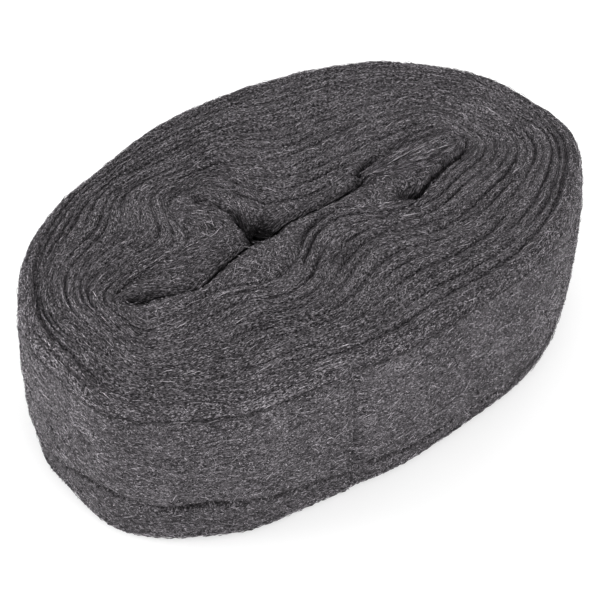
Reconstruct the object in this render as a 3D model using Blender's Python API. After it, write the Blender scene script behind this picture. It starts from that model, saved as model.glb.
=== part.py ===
"""A roll of steel wool ribbon, squashed to an oval and standing on one edge of the ribbon.

The ribbon winds outward, anticlockwise from above, so the roll is one spiral body: each end shows
the ribbon's edge as rounded turns with a groove between them. The middle was pulled off its
mandrel and has closed to a slit, with a crevice where the back of the first turns folds up. Right
of the slit the first turn is pressed flat into a tongue. Metres, +Z up, X along the oval. The
origin is under the middle of the roll, on the surface that it stands on.

A level counts the turns outward: 0 is the slit, 1 is the outside of the first turn and TURNS is
the outside of the roll. A share is a place along one turn, from the right end, anticlockwise.
"""

import math

import bmesh
import bpy
import numpy as np

# The ribbon, and the outline of the roll at its rim
RIBBON_WIDTH = 0.102
ROLL_LENGTH = 0.365
ROLL_WIDTH = 0.244
TURNS = 13
OUTER_TURN = 0.0125
OUTLINE_BACK = 2.2  # superellipse exponents: 2 is an ellipse, more is squarer
OUTLINE_FRONT = 2.3
OUTLINE_SHIFT = 0.0040  # the outline lies this much further back than the core
# How far the outline stands out from that plain oval, at even steps from the right end, anticlockwise
OUTLINE_SWELL = (
    -0.0024, -0.0076, -0.0053, -0.0031, -0.0019, -0.0077, -0.0084, -0.0088,
    -0.0030, 0.0054, 0.0018, -0.0049, -0.0018, 0.0020, 0.0, 0.0023,
)

# Outside of the first turn
CORE_LENGTH = 0.241
CORE_BACK = 0.0135  # from the roll's long axis to the first turn's back
CORE_FRONT = 0.0205
CORE_OUTLINE = 4.5
CORE_SHIFT = -0.0085
CORE_TILT = 0.0075  # the left of the back lies this much further back, and the right less
CORE_TILT_REACH = 0.050

# Buckle in the back of the turns, round the crevice. It grows wider and lower outward.
BUCKLE_X = -0.039
BUCKLE_HEIGHT = 0.042
BUCKLE_HALF = 0.0215
BUCKLE_SLOPE = 0.0058
BUCKLE_DRIFT = 0.0010
BUCKLE_WIDENING = 0.0057
BUCKLE_EASING = 0.0012

# Wave in the front of the turns
WAVE_X = 0.004
WAVE_LENGTH = 0.106
WAVE_HEIGHT = 0.012
WAVE_REACH = 0.083
WAVE_FADE = 0.014
WAVE_EASING = 0.35  # the share by which it's lower right of these two places, all of it at the second
WAVE_EASING_X = (0.020, 0.050)

# Slit and crevice, which go through to the underside
SLIT_LEFT = -0.122
SLIT_RIGHT = 0.043
SLIT_CLOSING = 0.0020  # the length that the tongue's end takes up
SLIT_HALF_GAP = 0.0011
EYE_HALF_GAP = 0.0032
EYE_LENGTH = 0.014
SLIT_LINE = (  # its middle, from the eye to the tongue
    (-0.122, 0.0085), (-0.106, 0.0012), (-0.088, -0.0068), (-0.060, -0.0018),
    (-0.030, 0.0034), (0.000, 0.0015), (0.020, -0.0004), (0.045, 0.0010),
)
CREVICE_X = -0.033
CREVICE_DEPTH = 0.049
CREVICE_HALF_GAP = 0.0010
CREVICE_SLOPE = 0.0008
CREVICE_BEND = ((0.020, 0.0), (0.030, 0.0025), (0.036, 0.0005), (0.047, -0.0060))  # Y, and how far it bends in X
MOUTH_X = -0.0270
MOUTH_DEPTH = 0.0110
MOUTH_HALF = 0.0070

# Both ends of the ribbon. Each turn steps out over the end that lies under it.
TAIL_SHARE = 0.675
TAIL_THICKNESS = 0.13
STEP_SHARE = 0.14

# Relief of the two ends of the roll
GROOVE_DEPTH = 0.0040
CORE_GROOVE_DEPTH = 0.0024
GROOVE_VARIATION = 0.55  # a share of a groove's depth
WANDER = 0.10  # of a turn, how far a groove strays
MATTED = (  # places where the grooves are matted over: x, y, reach in X and in Y, share of the depth
    (-0.125, -0.050, 0.045, 0.040, 0.75), (-0.140, 0.020, 0.030, 0.040, 0.45), (0.090, 0.060, 0.060, 0.030, 0.55),
    (0.140, -0.010, 0.030, 0.040, 0.55), (0.060, -0.070, 0.050, 0.022, 0.35), (-0.050, -0.085, 0.050, 0.020, 0.40),
)
UNEVENNESS = 0.0007  # of the upper edges of the turns, and of the lumps in them
LUMPS = 0.0005
LUMP_LENGTHS = (0.009, 0.040)
HOLLOWS = ((-0.027, 0.009, 0.008, 0.007), (0.0555, -0.0275, 0.012, 0.005))  # in the upper end: x, y, depth, reach
LAST_GROOVE_DEPTH = 0.0080
SLIT_EDGE_DEPTH = 0.0050
GAP_DEPTH = 0.020  # where the turns stand off the tongue
GAP_X = (0.050, 0.105)
GAP_FADE = 0.005
CROWN = ((0.20, 0.0), (0.80, 0.0))  # lines along the top of a turn: how far across it, and how far down
LAST_CROWN = ((0.20, 0.0), (0.68, 0.0010), (0.88, 0.0034))  # of the last turn, which is rounded at the rim
RIM_DEPTH = 0.0085
UNDERSIDE_RELIEF = 0.65

# Wall: height as a share of the ribbon's width, and how far it stands out from the rim
WALL = ((0.80, 0.0020), (0.55, 0.0030), (0.28, 0.0026), (0.20, 0.0016), (0.165, -0.0006), (0.125, 0.0018))
WALL_LUMPS = 0.0007
WALL_LUMP_LENGTHS = ((0.020, 0.090), (0.008, 0.020))  # of bumps a little longer than high, and of ones four times as long
SEAM_SHARE = 0.03  # of a turn, over which the tail's thickness is taken up again

# Mesh
COLUMNS = 60  # in one turn
STATIONS = 360  # along one guide ring
LAST_COLUMN = round((TURNS + TAIL_SHARE) * COLUMNS)
SHARP_ANGLE = 60.0

WOOL_COLOUR = (0.085, 0.080, 0.085, 1.0)
WOOL_METALLIC = 0.85
WOOL_ROUGHNESS = 0.55


def clear_scene():
    for thing in list(bpy.data.objects):
        bpy.data.objects.remove(thing, do_unlink=True)


def plateau(x, centre, half, slope):
    """1 within half of the centre and 0 further out, with soft sides."""
    return 0.5 * (np.tanh((x - centre + half) / slope) - np.tanh((x - centre - half) / slope))


def bell(x, centre, half):
    return np.exp(-(((x - centre) / half) ** 2))


def smooth(value):
    value = np.clip(value, 0.0, 1.0)
    return value * value * (3.0 - 2.0 * value)


def ripple(turns, seed, slowest=2.3, fastest=15.0, waves=8):
    """An uneven wave along the ribbon, of about 1 either way."""
    rng = np.random.default_rng(seed)
    rates = rng.uniform(slowest, fastest, waves)
    phases = rng.uniform(0.0, 2.0 * math.pi, waves)
    weights = 1.0 / np.sqrt(rates)
    return float((weights * np.sin(2.0 * math.pi * rates * turns + phases)).sum() / math.sqrt(0.5 * (weights**2).sum()))


def lumpiness(x, y, seed, shortest, longest, waves=26):
    """Soft bumps over a plane, of about 1 either way."""
    rng = np.random.default_rng(seed)
    total = 0.0
    for _ in range(waves):
        heading = rng.uniform(0.0, 2.0 * math.pi)
        rate = 2.0 * math.pi / rng.uniform(shortest, longest)
        total += math.sin(rate * (x * math.cos(heading) + y * math.sin(heading)) + rng.uniform(0.0, 6.3))
    return total / math.sqrt(waves / 2.0)


def curve_through(x, line):
    """The value at x of a smooth curve through the points of the line."""
    place, value = np.array(line).T
    slope = np.gradient(value, place)
    index = np.clip(np.searchsorted(place, x) - 1, 0, len(place) - 2)
    span = place[index + 1] - place[index]
    past = np.clip((x - place[index]) / span, 0.0, 1.0)
    leaving = past * (1.0 - past) ** 2 * span * slope[index]
    arriving = past**2 * (1.0 - past) * span * slope[index + 1]
    eased = smooth(past)
    return value[index] * (1.0 - eased) + value[index + 1] * eased + leaving - arriving


def reach(level, core, outline):
    """How far a turn reaches from the axis: evenly outward to the last groove, then the outer turn."""
    return float(np.interp(level, (1, TURNS - 1, TURNS), (core, outline - OUTER_TURN, outline)))


def swell(angle):
    """The outline's swell at these angles, eased from each listed place to the next."""
    place = angle / (2.0 * math.pi) * len(OUTLINE_SWELL)
    before = place.astype(int) % len(OUTLINE_SWELL)
    amounts = np.array(OUTLINE_SWELL)
    past = smooth(place - np.floor(place))
    return amounts[before] * (1.0 - past) + amounts[(before + 1) % len(amounts)] * past


def ring_curve(level):
    """The closed curve of one level, from the right end, as points against the angle."""
    angle = np.linspace(0.0, 2.0 * math.pi, 4 * STATIONS, endpoint=False)
    cosine, sine = np.cos(angle), np.sin(angle)
    back = sine >= 0.0
    folded = 1.0 - (level - 1.0) / (TURNS - 1.0)
    outside = level - 1.0
    outline = np.where(back, OUTLINE_BACK, OUTLINE_FRONT)
    power = 2.0 / (outline + (CORE_OUTLINE - outline) * folded)
    right = reach(level, CORE_LENGTH / 2 + CORE_SHIFT, ROLL_LENGTH / 2)
    left = reach(level, CORE_LENGTH / 2 - CORE_SHIFT, ROLL_LENGTH / 2)
    x = np.where(cosine >= 0.0, right, -left) * np.abs(cosine) ** power
    rise = np.abs(sine) ** power
    buckle = BUCKLE_HEIGHT * plateau(
        x,
        BUCKLE_X + BUCKLE_DRIFT * outside,
        BUCKLE_HALF + BUCKLE_WIDENING * outside,
        BUCKLE_SLOPE + BUCKLE_EASING * outside,
    )
    tilt = -CORE_TILT * np.tanh(x / CORE_TILT_REACH)
    wave = WAVE_HEIGHT * np.cos(2.0 * math.pi * (x - WAVE_X) / WAVE_LENGTH)
    wave *= plateau(x, WAVE_X, WAVE_REACH, WAVE_FADE)
    wave *= 1.0 - WAVE_EASING * smooth((x - WAVE_EASING_X[0]) / (WAVE_EASING_X[1] - WAVE_EASING_X[0]))
    behind = reach(level, CORE_BACK, ROLL_WIDTH / 2) * rise + folded * (buckle + tilt) * np.sqrt(rise)
    before = -reach(level, CORE_FRONT, ROLL_WIDTH / 2) * rise + folded * wave * rise
    stand_out = (1.0 - folded) * swell(angle)
    y = np.where(back, behind, before) + (1.0 - folded) * OUTLINE_SHIFT
    return np.stack((x + stand_out * cosine, y + stand_out * sine), axis=1)


def evenly_spaced(curve):
    """The same closed curve as STATIONS points, the same distance apart."""
    closed = np.vstack((curve, curve[:1]))
    length = np.concatenate(((0.0,), np.cumsum(np.linalg.norm(np.diff(closed, axis=0), axis=1))))
    wanted = np.linspace(0.0, length[-1], STATIONS, endpoint=False)
    return np.stack([np.interp(wanted, length, closed[:, axis]) for axis in (0, 1)], axis=1)


def slit_ring(first):
    """The edge of the slit, each point facing the same station of the first turn's ring."""
    left, right = first[:, 0].min(), first[:, 0].max()
    back = np.arange(STATIONS) <= np.argmin(first[:, 0])
    flank = BUCKLE_HALF + BUCKLE_SLOPE
    crest = BUCKLE_HALF - BUCKLE_SLOPE
    mouth = CREVICE_HALF_GAP + 2.5 * CREVICE_SLOPE
    tip = CREVICE_HALF_GAP - CREVICE_SLOPE
    closed = SLIT_RIGHT + SLIT_CLOSING
    turn = (left, BUCKLE_X - flank, BUCKLE_X - crest, BUCKLE_X + crest, BUCKLE_X + flank, SLIT_RIGHT, right)
    slit = (SLIT_LEFT, CREVICE_X - mouth, CREVICE_X - tip, CREVICE_X + tip, CREVICE_X + mouth, SLIT_RIGHT, closed)
    x = np.where(
        back,
        np.interp(first[:, 0], turn, slit),
        np.interp(first[:, 0], (left, SLIT_RIGHT, right), (SLIT_LEFT, SLIT_RIGHT, closed)),
    )
    middle = curve_through(x, SLIT_LINE)
    half_gap = SLIT_HALF_GAP + (EYE_HALF_GAP - SLIT_HALF_GAP) * bell(x, SLIT_LEFT, EYE_LENGTH)
    half_gap *= np.sqrt(np.clip((x - SLIT_LEFT) / EYE_HALF_GAP, 0.0, 1.0))
    half_gap *= np.clip((closed - x) / SLIT_CLOSING, 0.0, 1.0)
    crevice = CREVICE_DEPTH * plateau(x, CREVICE_X, CREVICE_HALF_GAP, CREVICE_SLOPE)
    crevice += MOUTH_DEPTH * bell(x, MOUTH_X, MOUTH_HALF)
    y = middle + np.where(back, half_gap + crevice, -half_gap)
    return np.stack((x + curve_through(y, CREVICE_BEND), y), axis=1)


def guide_rings():
    rings = [evenly_spaced(ring_curve(level)) for level in range(1, TURNS + 1)]
    return [slit_ring(rings[0])] + rings


def place(rings, level, share):
    """The plan point at any level and share, between the guide rings."""
    inner = min(int(level), TURNS - 1)
    station = (share % 1.0) * STATIONS
    first, past = int(station), station - int(station)
    point = np.zeros(2)
    for ring, weight in ((rings[inner], 1.0 - level + inner), (rings[inner + 1], level - inner)):
        here, there = ring[first % STATIONS], ring[(first + 1) % STATIONS]
        point += weight * ((1.0 - past) * here + past * there)
    return point


def outward(rings, share):
    """The direction away from the roll, square to its outline."""
    ahead = place(rings, TURNS, share + 1.0 / COLUMNS)
    behind = place(rings, TURNS, share - 1.0 / COLUMNS)
    along = (ahead - behind) / np.linalg.norm(ahead - behind)
    return np.array((along[1], -along[0]))


def groove_level(turns):
    """The level of the ribbon's outer face, this many turns along the spiral.

    From the right end to the tail one more turn fits in than from the tail on to the right end, so
    each turn steps out twice: the inner ones mostly at the right end, the outer ones at the tail.
    """
    if turns >= TURNS + TAIL_SHARE:
        taken_up = smooth((turns - TURNS - TAIL_SHARE) / SEAM_SHARE)
        return TURNS - TAIL_THICKNESS * (1.0 - taken_up)
    whole, share = divmod(turns - 1.0, 1.0)
    crowded = whole * (TURNS - 1) / TURNS
    crowded_next = (whole + 1.0) * (TURNS - 1) / TURNS
    at_tail = smooth((share - TAIL_SHARE) / STEP_SHARE + 1.0)
    at_right = smooth((share - 1.0) / STEP_SHARE + 1.0)
    thin_tail = TAIL_THICKNESS * at_tail * (whole == TURNS - 1)
    strays = WANDER * smooth((turns - 2.0) / 0.5) * smooth((TURNS - 1.2 - turns) / 0.5) * ripple(turns, 11)
    return 1.0 + crowded + at_tail * (whole - crowded) + at_right * (crowded_next - whole) - thin_tail + strays


def groove_depth(turns, point):
    inner = 1.0 - groove_level(turns) / TURNS
    depth = GROOVE_DEPTH + CORE_GROOVE_DEPTH * inner
    depth *= min(max(1.0 + GROOVE_VARIATION * ripple(turns, 21), 0.12), 1.9)
    for x, y, reach_x, reach_y, share in MATTED:
        depth *= 1.0 - share * float(bell(point[0], x, reach_x) * bell(point[1], y, reach_y))
    if turns < 2.0:
        middle, half = sum(GAP_X) / 2, (GAP_X[1] - GAP_X[0]) / 2
        depth += (GAP_DEPTH - depth) * float(plateau(point[0], middle, half, GAP_FADE))
    if turns >= TURNS - 1 + TAIL_SHARE:
        depth = LAST_GROOVE_DEPTH
    if turns >= TURNS + TAIL_SHARE:
        depth = RIM_DEPTH
    return depth


def unevenness(turns, point):
    """How far the upper edge of a turn lies below the ribbon's full width."""
    level = UNEVENNESS * (1.2 + ripple(turns, 61, 1.3, 7.0))
    level += LUMPS * (1.0 + lumpiness(point[0], point[1], 71, *LUMP_LENGTHS))
    return max(level, 0.0)


def hollows(point):
    return sum(depth * float(bell(point[0], x, size) * bell(point[1], y, size)) for x, y, depth, size in HOLLOWS)


class RollEnd:
    """One end of the roll: a groove row and the crown rows along the spiral, and the slit's edge."""

    def __init__(self, bm, rings, upper):
        self.bm, self.rings, self.upper = bm, rings, upper
        self.slit = [self.point(self.plan(0.0, column), SLIT_EDGE_DEPTH) for column in range(COLUMNS)]
        self.groove, self.crowns = [], []
        for column in range(LAST_COLUMN + 1):
            self.add_column(column)

    def plan(self, level, column):
        return place(self.rings, level, column / COLUMNS)

    def point(self, plan, depth):
        height = RIBBON_WIDTH - depth - hollows(plan) if self.upper else depth * UNDERSIDE_RELIEF
        return self.bm.verts.new((plan[0], plan[1], height))

    def add_column(self, column):
        turns = 1.0 + column / COLUMNS
        outer = groove_level(turns)
        inner = groove_level(turns - 1.0) if column >= COLUMNS else 0.0
        plan = self.plan(outer, column)
        self.groove.append(self.point(plan, groove_depth(turns, plan)))
        last_turn = turns >= TURNS + TAIL_SHARE
        thin = 1.0 - smooth(outer - inner)
        row = []
        for share, drop in LAST_CROWN if last_turn else CROWN:
            drop += thin * (RIM_DEPTH - drop) * last_turn
            plan = self.plan(inner + (outer - inner) * share, column)
            drop += unevenness(turns, plan) if self.upper else 0.0
            row.append(self.point(plan, drop))
        self.crowns.append(row)

    def inside(self, column):
        """The row of points that the ribbon's inner face has from this column to the next."""
        if column < COLUMNS:
            return self.slit[column], self.slit[(column + 1) % COLUMNS]
        return self.groove[column - COLUMNS], self.groove[column - COLUMNS + 1]

    def cover(self):
        """Faces of every turn, then the place where the second turn begins to lie on the first."""
        for column in range(LAST_COLUMN):
            here = [self.inside(column)[0], *self.crowns[column], self.groove[column]]
            ahead = [self.inside(column)[1], *self.crowns[column + 1], self.groove[column + 1]]
            if column == COLUMNS - 1:
                self.close_start(here, ahead)
                continue
            if len(here) < len(ahead):
                here.insert(-1, here[-2])
            for near in range(len(here) - 1):
                self.face(here[near], here[near + 1], ahead[near + 1], ahead[near])

    def close_start(self, here, ahead):
        """Joins the end of the first turn to the ribbon's own inner end, and to the second turn."""
        start = [self.slit[0], *self.crowns[0], self.groove[0]]
        for near in range(len(start) - 2):
            self.face(here[near], here[near + 1], start[near + 1], start[near])
        corner = [here[-2], here[-1], ahead[-1], *reversed(ahead[1:-1]), start[-1], start[-2]]
        centre = self.bm.verts.new(sum((vert.co for vert in corner), corner[0].co * 0.0) / len(corner))
        for vert, following in zip(corner, corner[1:] + corner[:1]):
            self.face(centre, vert, following)

    def face(self, *verts):
        self.bm.faces.new(dict.fromkeys(verts))

    def rim(self):
        """The outer edge: once round the last turn, and back across the thin end of the ribbon."""
        around = [(vert, column) for column, vert in enumerate(self.groove)][LAST_COLUMN - COLUMNS :]
        return around + [(vert, LAST_COLUMN) for vert in reversed(self.crowns[LAST_COLUMN])]


def join_loops(bm, upper, lower):
    for index, vert in enumerate(upper):
        following = (index + 1) % len(upper)
        bm.faces.new((vert, lower[index], lower[following], upper[following]))


def build_wall(bm, rings, top, underside):
    """The last turn's face, as loops of points from the upper rim down to the lower one."""
    upper = [vert for vert, _ in top.rim()]
    places = np.array([vert.co[:2] for vert in upper])
    along = np.concatenate(((0.0,), np.cumsum(np.linalg.norm(np.diff(places, axis=0), axis=1))))
    broad, drawn_out = WALL_LUMP_LENGTHS
    for share, stand_out in WALL:
        lower = []
        for (vert, column), arc in zip(top.rim(), along):
            lumps = 0.6 * lumpiness(arc, share * 0.1, 81, *broad) + 0.4 * lumpiness(arc * 0.25, share * 0.1, 82, *drawn_out)
            plan = np.array(vert.co[:2]) + (stand_out + WALL_LUMPS * lumps) * outward(rings, column / COLUMNS)
            lower.append(bm.verts.new((plan[0], plan[1], share * RIBBON_WIDTH)))
        join_loops(bm, upper, lower)
        upper = lower
    join_loops(bm, upper, [vert for vert, _ in underside.rim()])


def build_roll():
    bm = bmesh.new()
    rings = guide_rings()
    top = RollEnd(bm, rings, True)
    underside = RollEnd(bm, rings, False)
    top.cover()
    underside.cover()
    build_wall(bm, rings, top, underside)
    join_loops(bm, top.slit, underside.slit)
    centre_on_origin(bm)
    bmesh.ops.recalc_face_normals(bm, faces=bm.faces)
    return bm


def centre_on_origin(bm):
    """Brings the middle of the roll's box over the origin, which the buckled shape leaves a little off."""
    places = np.array([vert.co[:] for vert in bm.verts])
    middle = (places.min(axis=0) + places.max(axis=0)) / 2
    bmesh.ops.translate(bm, verts=bm.verts, vec=(-middle[0], -middle[1], 0.0))


def wool_material():
    material = bpy.data.materials.new("steel_wool")
    material.use_nodes = True
    shader = material.node_tree.nodes["Principled BSDF"]
    shader.inputs["Base Color"].default_value = WOOL_COLOUR
    shader.inputs["Metallic"].default_value = WOOL_METALLIC
    shader.inputs["Roughness"].default_value = WOOL_ROUGHNESS
    material.diffuse_color = WOOL_COLOUR
    return material


def main():
    clear_scene()
    bm = build_roll()
    mesh = bpy.data.meshes.new("steel_wool_roll")
    bm.to_mesh(mesh)
    bm.free()
    mesh.materials.append(wool_material())
    mesh.shade_smooth()
    mesh.set_sharp_from_angle(angle=math.radians(SHARP_ANGLE))
    roll = bpy.data.objects.new("steel_wool_roll", mesh)
    bpy.context.scene.collection.objects.link(roll)


main()
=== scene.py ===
import math

import bpy
import numpy as np
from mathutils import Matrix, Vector


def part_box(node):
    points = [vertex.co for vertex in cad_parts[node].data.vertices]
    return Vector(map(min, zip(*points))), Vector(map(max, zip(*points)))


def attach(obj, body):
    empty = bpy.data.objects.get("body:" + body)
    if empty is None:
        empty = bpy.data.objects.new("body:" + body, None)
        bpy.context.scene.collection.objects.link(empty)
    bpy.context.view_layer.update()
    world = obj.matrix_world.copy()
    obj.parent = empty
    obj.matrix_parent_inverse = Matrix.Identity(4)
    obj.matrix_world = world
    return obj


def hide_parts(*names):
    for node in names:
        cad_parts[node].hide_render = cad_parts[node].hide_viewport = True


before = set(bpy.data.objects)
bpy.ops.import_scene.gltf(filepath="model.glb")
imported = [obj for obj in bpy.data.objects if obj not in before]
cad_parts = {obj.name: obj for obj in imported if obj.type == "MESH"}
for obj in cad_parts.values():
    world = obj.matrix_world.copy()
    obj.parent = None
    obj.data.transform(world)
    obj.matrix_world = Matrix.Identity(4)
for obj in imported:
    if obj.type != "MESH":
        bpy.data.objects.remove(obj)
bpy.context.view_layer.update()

cadNode = "steel_wool_roll"

# The roll: a ribbon of wool wound outward, anticlockwise from above. Lengths are in metres.
# A level counts the turns outward, 0 at the slit.
# "along" counts turns along the ribbon, from 1.0 at its inner end.
roll = {
    "ribbonWidth": 0.102,
    "length": 0.365,
    "width": 0.244,
    "turns": 13,
    "outerTurn": 0.0125,
    "outlineBack": 2.2,  # superellipse powers
    "outlineFront": 2.3,
    "outlineShift": 0.004,
    # how far the outline stands out from the oval, at even steps from the right end, anticlockwise
    "outlineSwell": (
        (-0.0024, -0.0076, -0.0053, -0.0031, -0.0019, -0.0077, -0.0084, -0.0088)
        + (-0.003, 0.0054, 0.0018, -0.0049, -0.0018, 0.002, 0.0, 0.0023)
    ),
    "coreLength": 0.241,
    "coreBack": 0.0135,
    "coreFront": 0.0205,
    "coreOutline": 4.5,
    "coreShift": -0.0085,
    "coreTilt": 0.0075,
    "coreTiltReach": 0.05,
    "buckleHeight": 0.042,
    # place in x, half width and slope, and how much each changes with a turn
    "buckle": ((-0.039, 0.001), (0.0215, 0.0057), (0.0058, 0.0012)),
    "wave": (0.004, 0.083, 0.014),  # place in x, reach and fading
    "waveLength": 0.106,
    "waveHeight": 0.012,
    "waveEasing": 0.35,
    "waveEasingX": (0.02, 0.05),
    "slitEnds": (-0.122, 0.043),
    "slitClosing": 0.002,
    "slitHalfGap": 0.0011,
    "eyeHalfGap": 0.0032,
    "eyeLength": 0.014,
    "slitLine": (
        ((-0.122, 0.0085), (-0.106, 0.0012), (-0.088, -0.0068), (-0.06, -0.0018))
        + ((-0.03, 0.0034), (0.0, 0.0015), (0.02, -0.0004), (0.045, 0.001))
    ),
    "crevice": (-0.033, 0.001, 0.0008),  # place in x, half width and slope
    "creviceDepth": 0.049,
    "creviceBend": ((0.02, 0.0), (0.03, 0.0025), (0.036, 0.0005), (0.047, -0.006)),
    "mouth": (-0.027, 0.007),
    "mouthDepth": 0.011,
    "tailShare": 0.675,
    "tailThickness": 0.13,
    "stepShare": 0.14,
    "seamShare": 0.03,
    # relief of the two ends
    "grooveDepth": 0.0034,
    "coreGrooveDepth": 0.0008,
    "grooveHalf": 0.0011,  # half width of the dark line between two turns
    # where the grooves are matted over: x, y, reach in x and in y, share
    "matted": (
        (-0.125, -0.05, 0.048, 0.042, 0.82),
        (-0.14, 0.02, 0.03, 0.04, 0.45),
        (0.09, 0.06, 0.05, 0.03, 0.4),
        (0.0, 0.078, 0.07, 0.03, -0.45),
        (0.14, -0.01, 0.04, 0.05, 0.6),
        (-0.069, 0.059, 0.03, 0.026, 0.8),
        (-0.15, -0.02, 0.03, 0.06, 0.4),
        (0.06, -0.072, 0.055, 0.024, 0.52),
        (-0.002, -0.036, 0.014, 0.012, 0.45),
        (-0.05, -0.085, 0.055, 0.024, 0.6),
    ),
    "lastGrooveDepth": 0.0038,
    "softRim": (-0.135, -0.088, 0.05, 0.038, 0.8),  # where the last groove is matted over, as above
    "slitEdgeDepth": 0.0058,
    "slitEdgeHalf": 0.0034,
    "gapDepth": 0.02,
    "gap": (0.0775, 0.0275, 0.005),  # place in x, reach and fading
    "gapHalf": 0.0022,
    "crownDrop": 0.0007,
    "grooveVariation": (0.36, 0.12, 1.9),  # of its depth: share, least and most
    "grooveHalfVariation": (0.3, 0.6, 1.8),
    "groovePower": 1.25,
    "unevenness": 0.0004,
    "lumps": 0.0002,
    "lumpLengths": (0.009, 0.04),
    "foldDepth": 0.0014,  # faint lines inside a turn
    "foldHalf": 0.001,
    "foldMost": 1.6,
    "foldWidth": 0.009,  # width of a turn for a full fold line
    "foldDrift": 0.1,
    "wander": 0.1,  # of a turn, how far a groove strays
    "wanderEnds": (2.0, 1.2),  # turns from the inner end and from the outer one without it
    "wanderFade": 0.5,
    "rimDepth": 0.0085,
    "rimRound": 0.0075,
    "undersideRelief": 0.65,
    # painted shade: the depth where it begins, and the further depth at which it is full
    "shadeFrom": 0.0045,
    "shadeReach": 0.01,
    # wall: height share and how far it stands out from the rim
    "wallProfile": (
        ((0.94, 0.0), (0.8, 0.002), (0.55, 0.003), (0.28, 0.0026))
        + ((0.2, 0.0016), (0.165, 0.001), (0.125, 0.0006), (0.05, -0.0004))
    ),
    "wallSmoothing": 0.02,  # of the height
    "wallLumps": 0.0005,
    # lumps on the wall: weight, squeeze along the wall, shortest and longest
    "wallLumpKinds": ((0.6, 1.0, 0.02, 0.09), (0.25, 0.25, 0.008, 0.02)),
    "wallInset": 0.0004,  # room for the fibres on it
    # extra hollows in the upper end: x, y, depth, reach
    "hollows": (
        (-0.027, 0.009, 0.016, 0.009),
        (-0.113, 0.005, 0.004, 0.004),
        (0.057, -0.026, 0.014, 0.006),
    ),
    # long creases in the upper end: depth, half width, points
    "creases": (
        (
            0.0045,
            0.0016,
            ((-0.023, 0.032), (-0.018, 0.024), (-0.01, 0.021), (0.0035, 0.0115))
            + ((0.017, 0.007), (0.03, 0.005)),
        ),
        (0.005, 0.0018, ((0.036, 0.001), (0.051, 0.0075), (0.07, 0.012), (0.084, 0.011), (0.096, 0.009))),
        (0.005, 0.0018, ((-0.032, 0.014), (-0.03, 0.028), (-0.033, 0.038), (-0.04, 0.045), (-0.05, 0.048))),
        (
            0.004,
            0.0015,
            ((-0.029, -0.0185), (-0.018, -0.0155), (0.0025, -0.01), (0.016, -0.01), (0.036, -0.018))
            + ((0.054, -0.024),),
        ),
    ),
    "creasePower": 1.5,
    # mesh
    "columns": 250,  # in one turn
    "stations": 720,  # along one guide ring
    "rows": (0.07, 0.17, 0.32, 0.46, 0.56, 0.68, 0.83, 0.93),  # across one turn, between its grooves
    "wallRows": (18, 30, 3),  # above the hem groove, over it and below it
    "wallBands": (0.62, 0.97),  # where the middle rows begin and end, from the top
    "hemGroove": (0.0036, 0.014),  # depth, half width as a share of the height
    "hemVariation": (0.35, 0.3, 1.6),
    "hemWander": 0.014,
    # share of the turn and height share of the hem groove
    "hemHeights": (
        ((0.0, 0.14), (0.3, 0.16), (0.47, 0.18), (0.52, 0.33), (0.545, 0.355), (0.565, 0.31))
        + ((0.6, 0.28), (0.63, 0.26), (0.67, 0.2), (0.74, 0.14), (0.8, 0.12), (0.9, 0.13))
    ),
    "seam": (0.666, 0.002, 0.004),  # share of the turn, depth, half width
    "seamTop": 0.85,
    # painted shade in the hem groove, the seam and the band below the hem
    "hemShade": 0.66,  # how dark the hem, the seam and the band below the hem are
    "hemShadeVariation": (0.5, 0.1, 1.3),
    "hemShadeWidth": 1.3,
    "seamShade": 0.35,
    "bandShade": 0.09,
    "bandFade": 0.06,
    "slitRows": 6,
}
turns, tail, columns, stations = (roll[name] for name in ("turns", "tailShare", "columns", "stations"))

# each uneven form has random waves of its own
seeds = {
    "wander": 11,
    "grooveDepth": 21,
    "grooveHalf": 31,
    "foldDepth": 41,
    "foldPlace": 51,
    "unevenness": 61,
    "lumps": 71,
    "wallLumps": (81, 82),
    "hemDepth": 83,
    "hemHeight": 84,
    "hemShade": 85,
}

# places on the two maps of the roll's mesh
layout = {
    "gap": 0.12,  # free part of a turn's strip, at either side
    "edge": 0.02,  # free part of the wall's and the slit's strip
    "wallStrips": 10,
    "slitStrips": 6,
    "drift": 0.017,  # how far the streaks shift with each turn, in metres
    "step": (0.003, 0.01),  # length and width of the first step between two turns
    "fan": 0.005,
    "flatFan": (0.02, 0.4, 0.9),  # width, height, and place across the strip
    "wallFrom": 0.6,
    "slitFrom": 0.8,
    "slitWidth": 0.1,
}
endSlot, wallSlot = 0, 1


def clamp(value):
    return np.clip(value, 0.0, 1.0)


def smooth(value):
    value = clamp(value)
    return value * value * (3.0 - 2.0 * value)


def blend(first, second, share):
    return first * (1.0 - share) + second * share


def plateau(x, centre, half, slope):
    return 0.5 * (np.tanh((x - centre + half) / slope) - np.tanh((x - centre - half) / slope))


def bell(x, centre, half):
    return np.exp(-(((x - centre) / half) ** 2))


def bellAt(plan, x, y, reachX, reachY):
    return bell(plan[..., 0], x, reachX) * bell(plan[..., 1], y, reachY)


def ripple(along, seed, slowest=2.3, fastest=15.0, waves=8):
    # an uneven wave along the ribbon, of about 1 either way
    rng = np.random.default_rng(seed)
    rates = rng.uniform(slowest, fastest, waves)
    phases = rng.uniform(0.0, 2.0 * math.pi, waves)
    weights = 1.0 / np.sqrt(rates)
    total = 0.0
    for weight, rate, phase in zip(weights, rates, phases):
        total = total + weight * np.sin(2.0 * math.pi * rate * along + phase)
    return total / math.sqrt(0.5 * float((weights**2).sum()))


def varied(wave, variation):
    # a factor around 1 from a wave and its share, least and most
    share, least, most = variation
    return np.clip(1.0 + share * wave, least, most)


def withHeight(plan, height):
    return np.concatenate((plan, height[..., None]), axis=-1)


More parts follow.
